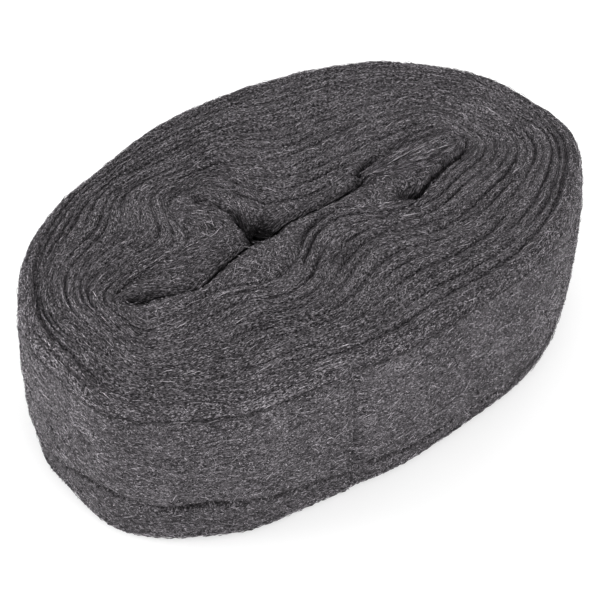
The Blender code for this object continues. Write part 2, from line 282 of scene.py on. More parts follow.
def lumpiness(x, y, seed, shortest, longest, waves=26):
    # soft random bumps over a plane
    rng = np.random.default_rng(seed)
    total = 0.0
    for _ in range(waves):
        heading = rng.uniform(0.0, 2.0 * math.pi)
        rate = 2.0 * math.pi / rng.uniform(shortest, longest)
        phase = rng.uniform(0.0, 6.3)
        total = total + np.sin(rate * (x * math.cos(heading) + y * math.sin(heading)) + phase)
    return total / math.sqrt(waves / 2.0)


def pathLength(points):
    # the length from the first point to each point
    return np.concatenate(((0.0,), np.cumsum(np.linalg.norm(np.diff(points, axis=0), axis=1))))


def curveThrough(x, line):
    # the value at x of a smooth curve through the points of the line
    spot, value = np.array(line).T
    slope = np.gradient(value, spot)
    index = np.clip(np.searchsorted(spot, x) - 1, 0, len(spot) - 2)
    span = spot[index + 1] - spot[index]
    past = clamp((x - spot[index]) / span)
    leaving = past * (1.0 - past) ** 2 * span * slope[index]
    arriving = past**2 * (1.0 - past) * span * slope[index + 1]
    return blend(value[index], value[index + 1], smooth(past)) + leaving - arriving


def awayFromLine(plan, line):
    # distance to a line through the points, and the share of its length at the nearest place
    line = np.array(line)
    steps = np.diff(line, axis=0)
    lengths = np.linalg.norm(steps, axis=1)
    travelled = pathLength(line)
    nearest = np.full(plan.shape[:-1], 1.0)
    spot = np.zeros(plan.shape[:-1])
    for start, step, length, before in zip(line, steps, lengths, travelled):
        past = clamp((plan - start) @ step / length**2)
        away = np.linalg.norm(plan - start - past[..., None] * step, axis=-1)
        closer = away < nearest
        spot = np.where(closer, (before + past * length) / travelled[-1], spot)
        nearest = np.where(closer, away, nearest)
    return nearest, spot


def reach(level, core, outline):
    # how far a guide ring reaches, between the core and the outline
    levels = (1, turns - 1, turns)
    return float(np.interp(level, levels, (core, outline - roll["outerTurn"], outline)))


def swell(angle):
    amounts = np.array(roll["outlineSwell"])
    spot = angle / (2.0 * math.pi) * len(amounts)
    before = spot.astype(int) % len(amounts)
    past = smooth(spot - np.floor(spot))
    return blend(amounts[before], amounts[(before + 1) % len(amounts)], past)


def ringCurve(level):
    angle = np.linspace(0.0, 2.0 * math.pi, 4 * stations, endpoint=False)
    cosine, sine = np.cos(angle), np.sin(angle)
    back = sine >= 0.0
    outside = level - 1.0
    folded = 1.0 - outside / (turns - 1.0)
    outline = np.where(back, roll["outlineBack"], roll["outlineFront"])
    power = 2.0 / (outline + (roll["coreOutline"] - outline) * folded)
    right = reach(level, roll["coreLength"] / 2 + roll["coreShift"], roll["length"] / 2)
    left = reach(level, roll["coreLength"] / 2 - roll["coreShift"], roll["length"] / 2)
    x = np.where(cosine >= 0.0, right, -left) * np.abs(cosine) ** power
    rise = np.abs(sine) ** power
    buckleForm = (start + change * outside for start, change in roll["buckle"])
    buckle = roll["buckleHeight"] * plateau(x, *buckleForm)
    tilt = -roll["coreTilt"] * np.tanh(x / roll["coreTiltReach"])
    wave = roll["waveHeight"] * np.cos(2.0 * math.pi * (x - roll["wave"][0]) / roll["waveLength"])
    wave = wave * plateau(x, *roll["wave"])
    easingFrom, easingTo = roll["waveEasingX"]
    wave = wave * (1.0 - roll["waveEasing"] * smooth((x - easingFrom) / (easingTo - easingFrom)))
    behind = reach(level, roll["coreBack"], roll["width"] / 2) * rise
    behind = behind + folded * (buckle + tilt) * np.sqrt(rise)
    before = -reach(level, roll["coreFront"], roll["width"] / 2) * rise + folded * wave * rise
    standOut = (1.0 - folded) * swell(angle)
    y = np.where(back, behind, before) + (1.0 - folded) * roll["outlineShift"]
    return np.stack((x + standOut * cosine, y + standOut * sine), axis=1)


def evenlySpaced(curve):
    closed = np.vstack((curve, curve[:1]))
    length = pathLength(closed)
    wanted = np.linspace(0.0, length[-1], stations, endpoint=False)
    return np.stack([np.interp(wanted, length, closed[:, axis]) for axis in (0, 1)], axis=1)


def slitRing(first):
    # the slit's edge, each point facing the same station of the first turn
    left, right = first[:, 0].min(), first[:, 0].max()
    slitLeft, slitRight = roll["slitEnds"]
    back = np.arange(stations) <= np.argmin(first[:, 0])
    buckleX, buckleHalf, buckleSlope = (start for start, _ in roll["buckle"])
    creviceX, creviceHalf, creviceSlope = roll["crevice"]
    flank, crest = buckleHalf + buckleSlope, buckleHalf - buckleSlope
    mouth, tip = creviceHalf + 2.5 * creviceSlope, creviceHalf - creviceSlope
    closed = slitRight + roll["slitClosing"]
    flanks = buckleX + np.array((-flank, -crest, crest, flank))
    tips = creviceX + np.array((-mouth, -tip, tip, mouth))
    turn = (left, *flanks, slitRight, right)
    slit = (slitLeft, *tips, slitRight, closed)
    frontSlit = (slitLeft, slitRight, closed)
    front = np.interp(first[:, 0], (left, slitRight, right), frontSlit)
    x = np.where(back, np.interp(first[:, 0], turn, slit), front)
    middle = curveThrough(x, roll["slitLine"])
    eye = (roll["eyeHalfGap"] - roll["slitHalfGap"]) * bell(x, slitLeft, roll["eyeLength"])
    opening = np.sqrt(clamp((x - slitLeft) / roll["eyeHalfGap"]))
    halfGap = (roll["slitHalfGap"] + eye) * opening
    halfGap = halfGap * clamp((closed - x) / roll["slitClosing"])
    crevice = roll["creviceDepth"] * plateau(x, *roll["crevice"])
    crevice = crevice + roll["mouthDepth"] * bell(x, *roll["mouth"])
    y = middle + np.where(back, halfGap + crevice, -halfGap)
    return np.stack((x + curveThrough(y, roll["creviceBend"]), y), axis=1)


rings = [evenlySpaced(ringCurve(level)) for level in range(1, turns + 1)]
rings = np.array([slitRing(rings[0])] + rings)
lastAlong = turns + tail + 1.0
print("guide rings", rings.shape)


def place(level, share):
    # the plan point at a level and a share of a turn
    inner = np.minimum(level.astype(int), turns - 1)
    outward = (level - inner)[..., None]
    station = (share % 1.0) * stations
    first = station.astype(int) % stations
    following = (first + 1) % stations
    past = (station - np.floor(station))[..., None]
    near = blend(rings[inner, first], rings[inner, following], past)
    far = blend(rings[inner + 1, first], rings[inner + 1, following], past)
    return blend(near, far, outward)


def grooveLevel(along):
    # level of the ribbon's outer face. Each turn steps out over the ribbon's two ends.
    takenUp = smooth((along - turns - tail) / roll["seamShare"])
    whole, share = np.floor(along - 1.0), (along - 1.0) % 1.0
    crowded = whole * (turns - 1) / turns
    crowdedNext = (whole + 1.0) * (turns - 1) / turns
    atTail = smooth((share - tail) / roll["stepShare"] + 1.0)
    atRight = smooth((share - 1.0) / roll["stepShare"] + 1.0)
    thinTail = roll["tailThickness"] * atTail * (whole == turns - 1)
    level = 1.0 + crowded + atTail * (whole - crowded) + atRight * (crowdedNext - whole) - thinTail
    fromInner, fromOuter = roll["wanderEnds"]
    inside = smooth((along - fromInner) / roll["wanderFade"])
    inside = inside * smooth((turns - fromOuter - along) / roll["wanderFade"])
    level = level + roll["wander"] * inside * ripple(along, seeds["wander"])
    return np.where(along >= turns + tail, turns - roll["tailThickness"] * (1.0 - takenUp), level)


def grooveShape(along, plan):
    # depth and half width of the groove outside the ribbon
    inward = 1.0 - grooveLevel(along) / turns
    depth = roll["grooveDepth"] + roll["coreGrooveDepth"] * inward
    depth = depth * varied(ripple(along, seeds["grooveDepth"]), roll["grooveVariation"])
    half = roll["grooveHalf"] * varied(ripple(along, seeds["grooveHalf"]), roll["grooveHalfVariation"])
    for *spot, matted in roll["matted"]:
        depth = depth * (1.0 - matted * bellAt(plan, *spot))
    gap = plateau(plan[..., 0], *roll["gap"]) * (along < 2.0)
    depth = depth + (roll["gapDepth"] - depth) * gap
    half = half + (roll["gapHalf"] - half) * gap
    last = along >= turns - 1 + tail
    *spot, matted = roll["softRim"]
    lastDepth = roll["lastGrooveDepth"] * (1.0 - matted * bellAt(plan, *spot))
    return np.where(last, lastDepth, depth), half


def endSurface(along, across, upper=True):
    # points of an end of the roll, from the inner groove of a turn (across 0) to its outer one (1),
    # with the width of the turn and the painted shade of the place
    outer = grooveLevel(along)
    first = along < 2.0
    before = np.maximum(along - 1.0, 1.0)
    inner = np.where(first, 0.0, grooveLevel(before))
    plan = place(inner + (outer - inner) * across, along)
    innerEdge, outerEdge = place(inner, along), place(outer, along)
    width = np.linalg.norm(outerEdge - innerEdge, axis=-1)
    innerDepth, innerHalf = grooveShape(before, innerEdge)
    innerDepth = np.where(first, roll["slitEdgeDepth"], innerDepth)
    innerHalf = np.where(first, roll["slitEdgeHalf"], innerHalf)
    outerDepth, outerHalf = grooveShape(along, outerEdge)
    last = along >= turns + tail
    fromInner, fromOuter = across * width, (1.0 - across) * width
    depth = innerDepth * np.exp(-((fromInner / innerHalf) ** roll["groovePower"]))
    outerGroove = outerDepth * np.exp(-((fromOuter / outerHalf) ** roll["groovePower"]))
    depth = depth + np.where(last, 0.0, outerGroove)
    rim = 1.0 - np.sqrt(1.0 - clamp(1.0 - fromOuter / roll["rimRound"]) ** 2)
    depth = np.where(last, np.maximum(depth, roll["rimDepth"] * rim), depth)
    inside = 4.0 * across * (1.0 - across)
    fold = roll["foldDepth"] * np.clip(ripple(along, seeds["foldDepth"]), 0.0, roll["foldMost"])
    fold = fold * clamp(width / roll["foldWidth"] - 0.3)
    foldPlace = 0.5 + roll["foldDrift"] * ripple(along, seeds["foldPlace"], 1.1, 6.0)
    foldAway = (across - foldPlace) * width
    depth = depth + fold * np.exp(-((foldAway / roll["foldHalf"]) ** 2)) * np.sqrt(inside)
    depth = depth + roll["crownDrop"] * (1.0 - inside)
    if not upper:
        depth = np.maximum(depth * roll["undersideRelief"], 0.0)
        return withHeight(plan, depth), width, np.zeros_like(depth)
    level = roll["unevenness"] * (1.2 + ripple(along, seeds["unevenness"], 1.3, 7.0))
    lumps = lumpiness(plan[..., 0], plan[..., 1], seeds["lumps"], *roll["lumpLengths"])
    level = level + roll["lumps"] * (1.0 + lumps)
    depth = depth + np.maximum(level, 0.0) * clamp(inside * 2.0)
    for x, y, hollow, spread in roll["hollows"]:
        depth = depth + hollow * bellAt(plan, x, y, spread, spread)
    for crease, half, line in roll["creases"]:
        away, spot = awayFromLine(plan, line)
        fading = clamp(5.0 * spot * (1.0 - spot))
        depth = depth + crease * fading * np.exp(-((away / half) ** roll["creasePower"]))
    # deep places get painted shade, but not the rounded rim
    shade = clamp((depth - roll["shadeFrom"]) / roll["shadeReach"])
    shade = np.where(last, 0.0, shade)
    return withHeight(plan, roll["ribbonWidth"] - depth), width, shade


class RollMesh:
    # collects the points and faces of the roll, with two maps:
    # "ribbon" in metres along and across the ribbon, and a flat layout
    def __init__(self):
        self.points, self.shades, self.count = [], [], 0
        self.faces, self.ribbon, self.flat, self.kinds = [], [], [], []

    def add(self, points, shade=0.0):
        points = points.reshape(-1, 3)
        start = self.count
        self.points.append(points)
        self.shades.append(np.zeros(len(points)) + np.ravel(shade))
        self.count += len(points)
        return np.arange(start, self.count)

    def cover(self, corners, ribbon, flat, kind, turned=False):
        # corners (n, 4) with their places (n, 4, 2) on both maps
        if turned:
            corners, ribbon, flat = corners[:, ::-1], ribbon[:, ::-1], flat[:, ::-1]
        self.faces.append(corners)
        self.ribbon.append(ribbon)
        self.flat.append(flat)
        self.kinds.append(np.full(len(corners), kind))


def gridCorners(grid):
    # the four corners of each cell of a grid, going out and then ahead
    here, ahead = grid[:-1], grid[1:]
    corners = np.stack((here[:, :-1], here[:, 1:], ahead[:, 1:], ahead[:, :-1]), axis=2)
    return corners.reshape(-1, 4, *grid.shape[2:])


def mapGrid(along, across):
    # a grid of places from the values along it and across it
    return np.stack((along[:, None].repeat(len(across), 1), across[None].repeat(len(along), 0)), axis=-1)


def stripMap(count, shares, base, height):
    # a strip of the flat layout, free at both edges
    edge = layout["edge"]
    return mapGrid(np.linspace(0.0, 1.0, count), base + height * (edge + (1.0 - 2.0 * edge) * shares))


def buildEnd(mesh, upper, flatBase, flatHeight):
    rows = np.array(roll["rows"])
    lastColumn = round((turns + tail) * columns)
    along = 1.0 + np.arange(lastColumn + 1) / columns
    across = np.concatenate((rows, (1.0,)))
    places = mapGrid(along, across)
    surface, _, shade = endSurface(places[..., 0], places[..., 1], upper)
    slitEdge, _, slitShade = endSurface(along[:columns], np.zeros(columns), upper)
    slit = mesh.add(slitEdge, slitShade)
    body = mesh.add(surface, shade).reshape(len(along), len(across))
    groove = body[:, -1]
    arc = pathLength(surface[:, len(rows) // 2, :2])
    share = np.concatenate(((0.0,), across))
    allPoints = np.concatenate(mesh.points)
    gap = layout["gap"] * flatHeight
    flatAcross = flatBase + gap + share * (flatHeight - 2 * gap)
    turnRows = math.ceil(lastColumn / columns)
    for turn in range(turnRows):
        start, end = turn * columns, min((turn + 1) * columns, lastColumn)
        if turn == 0:
            end = columns - 1
        span = np.arange(start, end + 1)
        inside = slit[span % columns] if turn == 0 else groove[span - columns]
        grid = np.concatenate((inside[:, None], body[span]), axis=1)
        steps = np.linalg.norm(np.diff(allPoints[grid], axis=1), axis=2)
        away = np.concatenate((np.zeros((len(span), 1)), np.cumsum(steps, axis=1)), axis=1)
        away = away + layout["drift"] * along[span][:, None]
        ribbonMap = np.stack((arc[span][:, None].repeat(len(share), 1), away), axis=-1)
        flatMap = mapGrid((span - start) / columns, flatAcross + flatHeight * turn)
        mesh.cover(gridCorners(grid), gridCorners(ribbonMap), gridCorners(flatMap), endSlot, not upper)
    # the place where the second turn begins to lie on the first: a row of steps, then a fan of triangles
    here = np.array([slit[columns - 1], *body[columns - 1]])
    start = np.array([slit[0], *body[0]])
    ahead, outward = np.array(((0, 0, 1, 1), (0, 1, 1, 0)))
    cell = np.arange(len(start) - 2)[:, None] + outward
    ahead = ahead + 0 * cell
    stepLength, stepWidth = layout["step"]
    ribbonMap = np.stack((arc[columns - 1] + stepLength * ahead, stepWidth * share[cell]), axis=-1)
    flatMap = np.stack(((columns - 1 + ahead) / columns, flatAcross[cell]), axis=-1)
    mesh.cover(np.where(ahead, start[cell], here[cell]), ribbonMap, flatMap, endSlot, not upper)
    corner = np.array([*here[-2:], *body[columns][::-1], *start[:-3:-1]])
    centre = mesh.add(allPoints[corner].mean(axis=0))[0]
    angles = 2.0 * math.pi * np.arange(len(corner) + 1) / len(corner)
    ring = np.stack((np.cos(angles), np.sin(angles)), axis=1)
    following = np.roll(corner, -1)
    fan = np.stack((np.full(len(corner), centre), corner, following, following), axis=1)
    spots = np.stack((0.0 * ring[1:], ring[:-1], ring[1:], ring[1:]), axis=1)
    fanWidth, fanHeight, fanX = layout["flatFan"]
    flatMap = spots * np.array((fanWidth, fanHeight * flatHeight))
    flatMap = flatMap + np.array((fanX, flatBase + flatHeight * (turnRows - 0.5)))
    mesh.cover(fan, spots * layout["fan"] + arc[columns], flatMap, endSlot, not upper)
    rim = np.concatenate((groove[lastColumn - columns :], body[lastColumn][:-1][::-1]))
    rimAlong = np.concatenate((along[lastColumn - columns :], np.full(len(rows), along[-1])))
    return slit, rim, rimAlong


def outwardAt(along):
    step = 1.0 / columns
    level = np.full(len(along), float(turns))
    forward = place(level, along + step) - place(level, along - step)
    forward = forward / np.linalg.norm(forward, axis=1)[:, None]
    return np.stack((forward[:, 1], -forward[:, 0]), axis=1)


def hemHeight(turnShare, arc):
    spots, heights = np.array(roll["hemHeights"]).T
    height = np.interp(turnShare % 1.0, spots, heights, period=1.0)
    return height + roll["hemWander"] * lumpiness(arc, arc * 0.0, seeds["hemHeight"], 0.02, 0.12, 12)


def wallStandOut(share, arc, hemAt):
    # how far the wall stands out, with lumps drawn out along the ribbon
    heights, amounts = np.array(roll["wallProfile"])[::-1].T
    shifts = (-roll["wallSmoothing"], 0.0, roll["wallSmoothing"])
    soft = sum(np.interp(share + shift, heights, amounts) for shift in shifts) / len(shifts)
    lumps = 0.0
    for seed, (weight, squeeze, shortest, longest) in zip(seeds["wallLumps"], roll["wallLumpKinds"]):
        lumps = lumps + weight * lumpiness(arc * squeeze, share * 0.1, seed, shortest, longest)
    hemDepth, hemHalf = roll["hemGroove"]
    hemWave = lumpiness(arc, arc * 0.0, seeds["hemDepth"], 0.05, 0.2, 8)
    groove = hemDepth * varied(hemWave, roll["hemVariation"]) * bell(share, hemAt, hemHalf)
    inside = clamp(share * (1.0 - share) * 6.0)
    return soft + roll["wallLumps"] * lumps * inside - groove - roll["wallInset"]


def wallShade(share, arc, hemAt, seamAt):
    # painted shade darkens the hem groove, the seam and the band below the hem
    hemWave = lumpiness(arc, arc * 0.0, seeds["hemShade"], 0.02, 0.1, 12)
    hem = varied(hemWave, roll["hemShadeVariation"])
    hem = hem * bell(share, hemAt, roll["hemShadeWidth"] * roll["hemGroove"][1])
    seam = bell(arc, seamAt, roll["seam"][2]) * (share < roll["seamTop"])
    band = smooth((hemAt - share) / roll["bandFade"])
    shade = roll["hemShade"] * hem + roll["seamShade"] * seam + roll["bandShade"] * band
    return clamp(shade)


def closedRow(values):
    return np.concatenate((values, values[:1]))


def buildWall(mesh, topRim, rimAlong, lowRim, flatBase, flatHeight):
    points = np.concatenate(mesh.points)
    high, low = points[topRim], points[lowRim]
    outward = outwardAt(rimAlong)
    closedArc = pathLength(closedRow(high[:, :2]))
    arc = closedArc[:-1]
    above, over, below = roll["wallRows"]
    bandFrom, bandTo = roll["wallBands"]
    upperShares = np.linspace(0.0, bandFrom, above + 1)
    hemShares = np.linspace(bandFrom, bandTo, over + 1)[1:]
    shares = np.concatenate((upperShares, hemShares, np.linspace(bandTo, 1.0, below + 1)[1:]))
    seamShare, seamDepth, seamHalf = roll["seam"]
    seamAlong = lastAlong - 1.0 - tail + seamShare
    seamAt = np.interp(seamAlong, rimAlong[:columns], arc[:columns])
    hemAt = hemHeight(rimAlong, arc)
    loops, grid, shades = [topRim], [high], [np.zeros(len(high))]
    for part in shares[1:-1]:
        height = high[:, 2] + (low[:, 2] - high[:, 2]) * part
        share = height / roll["ribbonWidth"]
        amount = wallStandOut(share, arc, hemAt) - seamDepth * bell(arc, seamAt, seamHalf)
        fade = min(1.0, min(part, 1.0 - part) * 12.0)
        plan = high[:, :2] + (amount * fade)[:, None] * outward
        grid.append(withHeight(plan, height))
        shades.append(wallShade(share, arc, hemAt, seamAt))
        loops.append(mesh.add(grid[-1], shades[-1]))
    loops.append(lowRim)
    grid.append(low)
    shades.append(np.zeros(len(low)))
    around = np.stack([closedRow(loop) for loop in loops], axis=1)
    heights = np.stack([closedRow(line[:, 2]) for line in grid], axis=1)
    alongWall = closedArc[:, None].repeat(len(shares), 1)
    ribbonMap = np.stack((alongWall, heights + layout["wallFrom"]), axis=-1)
    flatMap = stripMap(len(closedArc), shares, flatBase, flatHeight)
    mesh.cover(gridCorners(around), gridCorners(ribbonMap), gridCorners(flatMap), wallSlot, True)
    return np.stack(grid, axis=0), np.stack(shades, axis=0), outward, closedArc


def buildSlit(mesh, topSlit, lowSlit, flatBase, flatHeight):
    points = np.concatenate(mesh.points)
    high, low = points[topSlit], points[lowSlit]
    arc = pathLength(closedRow(high[:, :2]))
    shares = np.linspace(0.0, 1.0, roll["slitRows"] + 1)
    loops = [topSlit]
    for part in shares[1:-1]:
        loops.append(mesh.add(high + (low - high) * part))
    loops.append(lowSlit)
    around = np.stack([closedRow(loop) for loop in loops], axis=1)
    ribbonMap = mapGrid(arc, layout["slitFrom"] + layout["slitWidth"] * shares)
    flatMap = stripMap(len(arc), shares, flatBase, flatHeight)
    mesh.cover(gridCorners(around), gridCorners(ribbonMap), gridCorners(flatMap), endSlot)


woolLook = {
    # the matted mass is coloured darker than the fibres on it: painted shade in the gaps between them
    "dark": (0.014, 0.0131, 0.014, 1.0),
    "middle": (0.08, 0.0739, 0.08, 1.0),
    "pale": (0.26, 0.244, 0.26, 1.0),
    "metallic": 0.8,
    "roughness": (0.48, 0.72),
    "endStreak": (130.0, 900.0),  # pattern scale along and across the ribbon, per metre
    "wallStreak": (150.0, 600.0),
    "fineStreak": (620.0, 1150.0),
    "coarseShare": 0.08,
    "mottle": 38.0,
    "mottleShare": 0.1,
    "stops": (0.4, 0.51, 0.62),  # tones of dark, middle and pale
    "bump": (0.9, 0.0008),  # strength and height
    "shading": 0.13,
}


def addNode(tree, kind, **values):
    node = tree.nodes.new(kind)
    for name, value in values.items():
        setattr(node, name, value)
    return node


def noiseNode(tree, vector, scale, detail, distortion=0.0):
    noise = addNode(tree, "ShaderNodeTexNoise")
    noise.inputs["Scale"].default_value = scale
    noise.inputs["Detail"].default_value = detail
    noise.inputs["Distortion"].default_value = distortion
    tree.links.new(vector, noise.inputs["Vector"])
    return noise.outputs["Fac"]


def scaledVector(tree, vector, scale):
    mapping = addNode(tree, "ShaderNodeMapping")
    mapping.inputs["Scale"].default_value = scale
    tree.links.new(vector, mapping.inputs["Vector"])
    return mapping.outputs["Vector"]


def mathsNode(tree, operation, first, second):
    node = addNode(tree, "ShaderNodeMath", operation=operation)
    for index, value in enumerate((first, second)):
        if isinstance(value, (int, float)):
            node.inputs[index].default_value = value
        else:
            tree.links.new(value, node.inputs[index])
    return node.outputs[0]


def mixed(tree, first, second, share):
    # a share of the first and the rest of the second
    firstPart = mathsNode(tree, "MULTIPLY", first, share)
    return mathsNode(tree, "ADD", firstPart, mathsNode(tree, "MULTIPLY", second, 1.0 - share))


def newMaterial(name):
    material = bpy.data.materials.new(name)
    material.use_nodes = True
    return material, material.node_tree, material.node_tree.nodes["Principled BSDF"]


def finishMaterial(tree, shader, look, tone, gloss):
    # colour by tone, from dark to pale, and a smoother surface where the gloss is high
    ramp = addNode(tree, "ShaderNodeValToRGB")
    elements = ramp.color_ramp.elements
    elements.new(0.5)
    for element, position, colour in zip(elements, look["stops"], ("dark", "middle", "pale")):
        element.position = position
        element.color = look[colour]
    tree.links.new(tone, ramp.inputs["Fac"])
    tree.links.new(ramp.outputs["Color"], shader.inputs["Base Color"])
    rough = addNode(tree, "ShaderNodeMapRange")
    smoothest, roughest = look["roughness"]
    rough.inputs["To Min"].default_value = roughest
    rough.inputs["To Max"].default_value = smoothest
    tree.links.new(gloss, rough.inputs["Value"])
    tree.links.new(rough.outputs["Result"], shader.inputs["Roughness"])
    shader.inputs["Metallic"].default_value = look["metallic"]


def massMaterial(name, streakScale, distortion):
    # matted fibres: streaks along the ribbon in two sizes, over soft mottling
    material, tree, shader = newMaterial(name)
    ribbonUv = addNode(tree, "ShaderNodeUVMap", uv_map="ribbon").outputs["UV"]
    coarse = noiseNode(tree, scaledVector(tree, ribbonUv, (*streakScale, 1.0)), 1.0, 3.0, distortion)
    fineVector = scaledVector(tree, ribbonUv, (*woolLook["fineStreak"], 1.0))
    fine = noiseNode(tree, fineVector, 1.0, 2.0, distortion)
    objectPlace = addNode(tree, "ShaderNodeTexCoord").outputs["Object"]
    mottle = noiseNode(tree, objectPlace, woolLook["mottle"], 2.0)
    streaks = mixed(tree, coarse, fine, woolLook["coarseShare"])
    tone = mixed(tree, mottle, streaks, woolLook["mottleShare"])
    # painted shade: the shade attribute darkens the tone in deep places and on the wall's hem, seam and
    # lower band
    shade = addNode(tree, "ShaderNodeAttribute", attribute_name="shade").outputs["Fac"]
    tone = mathsNode(tree, "SUBTRACT", tone, mathsNode(tree, "MULTIPLY", shade, woolLook["shading"]))
    finishMaterial(tree, shader, woolLook, tone, streaks)
    bump = addNode(tree, "ShaderNodeBump")
    strength, height = woolLook["bump"]
    bump.inputs["Strength"].default_value = strength
    bump.inputs["Distance"].default_value = height
    tree.links.new(streaks, bump.inputs["Height"])
    tree.links.new(bump.outputs["Normal"], shader.inputs["Normal"])
    material.diffuse_color = woolLook["middle"]
    return material


def newObject(name, data):
    thing = bpy.data.objects.new(name, data)
    bpy.context.scene.collection.objects.link(thing)
    return thing


def meshObject(name, points, faces, materials):
    data = bpy.data.meshes.new(name)
    data.from_pydata(points, [], faces)
    for material in materials:
        data.materials.append(material)
    data.update()
    return newObject(name, data)


def addMap(piece, name, places):
    piece.data.uv_layers.new(name=name).data.foreach_set("uv", np.ravel(places))


def addPointValues(piece, name, values):
    piece.data.attributes.new(name, "FLOAT", "POINT").data.foreach_set("value", values.astype(np.float32))


def buildRoll():
    mesh = RollMesh()
    turnRows = math.ceil(turns + tail)
    wallStrips, slitStrips = layout["wallStrips"], layout["slitStrips"]
    strip = 1.0 / (2 * turnRows + wallStrips + slitStrips)
    topSlit, topRim, rimAlong = buildEnd(mesh, True, 0.0, strip)
    lowSlit, lowRim, _ = buildEnd(mesh, False, turnRows * strip, strip)
    wallBase = 2 * turnRows * strip
    grid, shades, outward, arc = buildWall(mesh, topRim, rimAlong, lowRim, wallBase, wallStrips * strip)
    buildSlit(mesh, topSlit, lowSlit, wallBase + wallStrips * strip, slitStrips * strip)
    points = np.concatenate(mesh.points)
    low, high = (np.array(corner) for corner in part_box(cadNode))
    shift = (low + high) / 2.0 - (points.min(axis=0) + points.max(axis=0)) / 2.0
    shift[2] = 0.0
    cornerLists, ribbonValues, flatValues = [], [], []
    faces, ribbon, flat = (np.concatenate(part) for part in (mesh.faces, mesh.ribbon, mesh.flat))
    for face, ribbonPlaces, flatPlaces in zip(faces.tolist(), ribbon, flat):
        # a triangle has one corner twice
        keep = [spot for spot in range(4) if face[spot] != face[spot - 1]]
        cornerLists.append([face[spot] for spot in keep])
        ribbonValues.extend(ribbonPlaces[keep])
        flatValues.extend(flatPlaces[keep])
    materials = [
        massMaterial("matted wool, ends", woolLook["endStreak"], 0.5),
        massMaterial("matted wool, wall", woolLook["wallStreak"], 1.6),
    ]
    piece = meshObject("wool_roll", points + shift, cornerLists, materials)
    addPointValues(piece, "shade", np.concatenate(mesh.shades))
    addMap(piece, "ribbon", ribbonValues)
    addMap(piece, "OFBake", flatValues)
    piece.data.polygons.foreach_set("material_index", np.concatenate(mesh.kinds).astype(np.int32))
    piece.data.shade_smooth()
    piece.data.update()
    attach(piece, "root")
    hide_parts(cadNode)
    print("wool roll:", len(points), "points,", len(cornerLists), "faces, shifted by", shift)
    return shift, grid + shift, shades, outward, arc


rollShift, wallGrid, wallShades, wallOutward, wallArc = buildRoll()

# Fibres: every one is a closed strand with three sides and two fine tips
fibreLook = {
    "dark": (0.014, 0.0131, 0.014, 1.0),
    "middle": (0.117, 0.107, 0.117, 1.0),
    "pale": (0.6, 0.567, 0.603, 1.0),
    "metallic": 0.85,
    "roughness": (0.36, 0.55),
    "mottle": 55.0,
    "mottleShare": 0.08,
    "glint": 800.0,
    "glintShare": (1.3, 0.2),  # of the own tone: what the glint gives, and what is always there
    "stops": (0.08, 0.53, 0.91),
    "shading": 0.85,
    "lowest": 0.00005,  # no point of a fibre goes below this height
    "cell": (2.2, 0.08),  # on the flat layout: width over height, and free edge
}


def fibreMaterial(name):
    # each fibre has its own tone, and the tone drifts a little along it; painted glints break it into short
    # bright bits
    material, tree, shader = newMaterial(name)
    ownTone = addNode(tree, "ShaderNodeAttribute", attribute_name="tone").outputs["Fac"]
    objectPlace = addNode(tree, "ShaderNodeTexCoord").outputs["Object"]
    mottle = noiseNode(tree, objectPlace, fibreLook["mottle"], 3.0)
    # painted glints: short bright bits along each fibre
    glint = noiseNode(tree, objectPlace, fibreLook["glint"], 1.0)
    glintShare, steadyShare = fibreLook["glintShare"]
    glint = mathsNode(tree, "ADD", mathsNode(tree, "MULTIPLY", glint, glintShare), steadyShare)
    broken = mathsNode(tree, "MULTIPLY", ownTone, glint)
    tone = mathsNode(tree, "ADD", broken, mathsNode(tree, "MULTIPLY", mottle, fibreLook["mottleShare"]))
    finishMaterial(tree, shader, fibreLook, tone, tone)
    material.diffuse_color = fibreLook["middle"]
    return material


def unit(vectors):
    return vectors / np.maximum(np.linalg.norm(vectors, axis=-1, keepdims=True), 1e-9)


